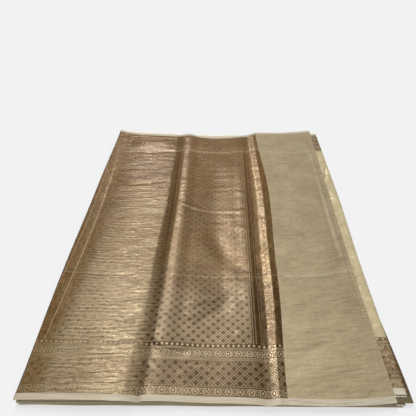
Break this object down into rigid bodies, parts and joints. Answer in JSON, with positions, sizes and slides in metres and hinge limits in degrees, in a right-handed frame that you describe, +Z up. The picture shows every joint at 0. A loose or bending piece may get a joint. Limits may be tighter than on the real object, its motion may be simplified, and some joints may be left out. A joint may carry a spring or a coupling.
{
  "type": "folded saree",
  "caption": "Tissue saree with a woven zari pallu, folded to and fro lengthwise and laid flat, selvedge to selvedge, with two sharp creases.",
  "frame": {"origin": "centre of the bottom of the folded packet's box", "axes": "+X along the saree's length, towards the plain right end; +Y across its width, from the near selvedge to the far one; +Z up"},
  "size_m": [0.825, 1.1298, 0.0241],
  "materials": {
    "zari": "coppery gold zari brocade, satin metallic sheen",
    "tissue": "pale olive gold tissue, soft metallic sheen",
    "lower_tissue": "pale yellow gold tissue with zari borders and cream selvedges",
    "under_cloth": "pale gold tissue in shade, cream selvedges"
  },
  "bodies": {
    "root": {"pallu_outer_panel": "zari", "pallu_inner_panel": "zari", "pallu_end_band": "zari", "plain_end_panel": "tissue", "second_fold": "lower_tissue", "lower_fold": "lower_tissue", "folded_under_layers": "under_cloth"}
  },
  "joints": []
}
